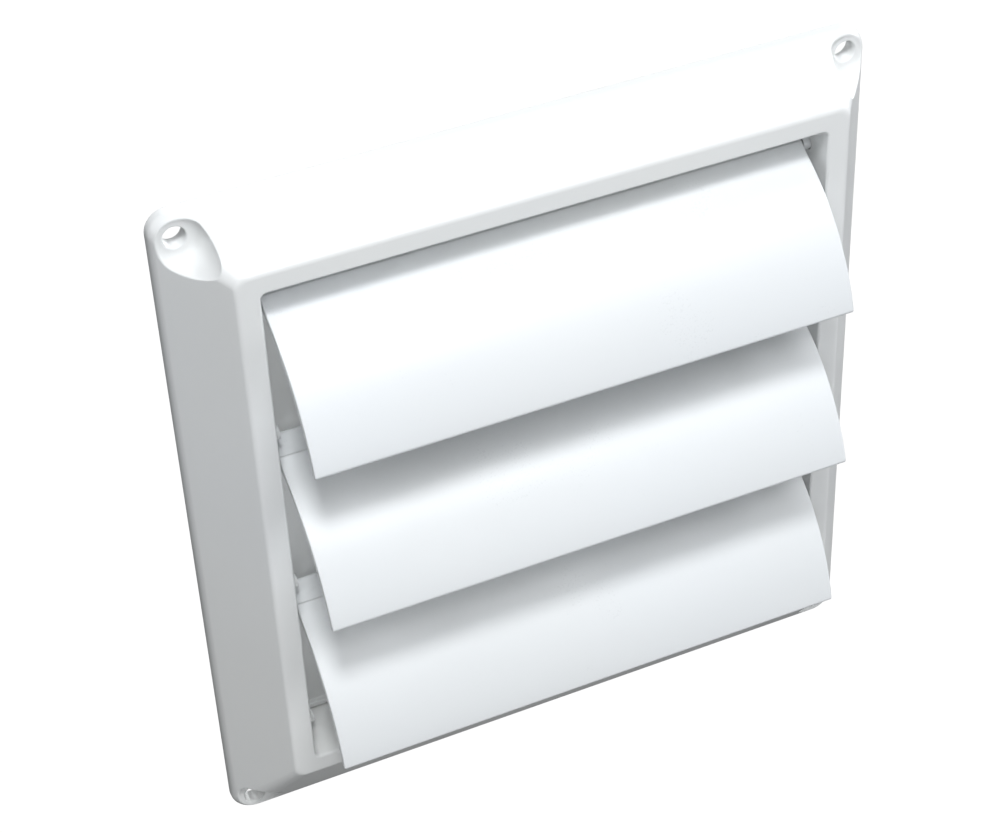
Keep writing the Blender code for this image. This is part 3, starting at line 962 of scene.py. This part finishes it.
# ---- floor and world -------------------------------------------------------------------------
def make_floor():
    """A glowing white sheet just under the hood that can't be seen from below."""
    bm = bmesh.new()
    bmesh.ops.create_grid(bm, x_segments=1, y_segments=1, size=6.0,
                          matrix=Matrix.Translation((0, 0, Z_BOT - 0.0005)))
    floor = to_object("floor", bm)
    mat = bpy.data.materials.new("floor_white")
    mat.use_nodes = True
    tree = mat.node_tree
    tree.nodes.clear()
    out = add_node(tree, "ShaderNodeOutputMaterial")
    glow = add_node(tree, "ShaderNodeEmission", {"Color": (1, 1, 1, 1), "Strength": 1.05})
    under = add_node(tree, "ShaderNodeNewGeometry")
    clear = add_node(tree, "ShaderNodeBsdfTransparent")
    side = add_node(tree, "ShaderNodeMixShader", {
        0: under.outputs["Backfacing"], 1: glow.outputs[0], 2: clear.outputs[0],
    })
    tree.links.new(side.outputs[0], out.inputs["Surface"])
    floor.data.materials.append(mat)
    floor.visible_diffuse = False
    floor.visible_glossy = False
    floor.visible_shadow = False


def make_world():
    """White to the camera only, so that it lights nothing."""
    world = bpy.data.worlds.new("studio")
    scene.world = world
    world.use_nodes = True
    tree = world.node_tree
    tree.nodes.clear()
    out = add_node(tree, "ShaderNodeOutputWorld")
    back = add_node(tree, "ShaderNodeBackground", {"Color": (1, 1, 1, 1)})
    seen = add_node(tree, "ShaderNodeLightPath")
    tree.links.new(seen.outputs["Is Camera Ray"], back.inputs["Strength"])
    tree.links.new(back.outputs[0], out.inputs["Surface"])


make_floor()
make_world()

# ---- lights ----------------------------------------------------------------------------------
LIGHT_DISTANCE = 1.3
LIGHT_COLOUR = (0.975, 0.998, 1.02)
# name, azimuth from straight in front towards +X, elevation (degrees), size (m), power (W)
LIGHTS = (
    ("key_above", -22, 62, 0.2, 7.4),
    ("key_above_right", 18, 62, 0.2, 0.9),
    ("key_right", 50, 45, 0.2, 0.8),
    ("front_soft", 15, 50, 0.5, 4.7),
    ("right_soft", 95, 20, 0.5, 9.6),
    ("front_low", -22, 20, 0.5, 2.7),
    ("left_soft", -60, 50, 0.5, 1.6),
    ("left_low", -100, 20, 0.5, 2.5),
    ("back_soft", 180, 45, 0.6, 3.6),
    ("back_low", 140, 0, 0.6, 5.5),
    ("floor_bounce", -22, -55, 1.2, 3.5),
    ("floor_bounce_right", 40, -30, 0.8, 2.8),
)


def soft_box(name, azimuth, elevation, size, power):
    """A square area light aimed at the origin."""
    a, e = math.radians(azimuth), math.radians(elevation)
    place = (LIGHT_DISTANCE * math.sin(a) * math.cos(e),
             -LIGHT_DISTANCE * math.cos(a) * math.cos(e), LIGHT_DISTANCE * math.sin(e))
    data = bpy.data.lights.new(name, "AREA")
    data.shape = "RECTANGLE"
    data.size = size
    data.size_y = size
    data.energy = power
    data.color = LIGHT_COLOUR
    obj = bpy.data.objects.new(name, data)
    obj.location = place
    obj.rotation_mode = "QUATERNION"
    aim = Vector((0, 0, 0)) - Vector(place)
    obj.rotation_quaternion = aim.to_track_quat("-Z", "Y")
    obj.visible_camera = False
    scene.collection.objects.link(obj)


for light in LIGHTS:
    soft_box(*light)

# ---- camera ----------------------------------------------------------------------------------
CAM_AZ = math.radians(22.469)       # view direction, turned from +Y towards +X
CAM_EL = math.radians(38.956)       # downward tilt
CAM_ROLL = math.radians(-2.765)
CAM_AT = Vector((-171.484, -398.759, 355.404)) * MM


def make_camera():
    sin_az, cos_az = math.sin(CAM_AZ), math.cos(CAM_AZ)
    sin_el, cos_el = math.sin(CAM_EL), math.cos(CAM_EL)
    forward = Vector((sin_az * cos_el, cos_az * cos_el, -sin_el))
    level = Vector((cos_az, -sin_az, 0))
    rise = Vector((sin_az * sin_el, cos_az * sin_el, cos_el))
    right = level * math.cos(CAM_ROLL) + rise * math.sin(CAM_ROLL)
    up = rise * math.cos(CAM_ROLL) - level * math.sin(CAM_ROLL)
    data = bpy.data.cameras.new("camera")
    data.sensor_width = 36.0
    data.lens = 90.537
    data.clip_start = 0.01
    data.clip_end = 50
    camera = bpy.data.objects.new("camera", data)
    rows = zip(right, up, -forward, CAM_AT)
    camera.matrix_world = Matrix((*rows, (0, 0, 0, 1)))
    scene.collection.objects.link(camera)
    scene.camera = camera


make_camera()
scene.view_settings.view_transform = "Standard"
scene.view_settings.look = "None"
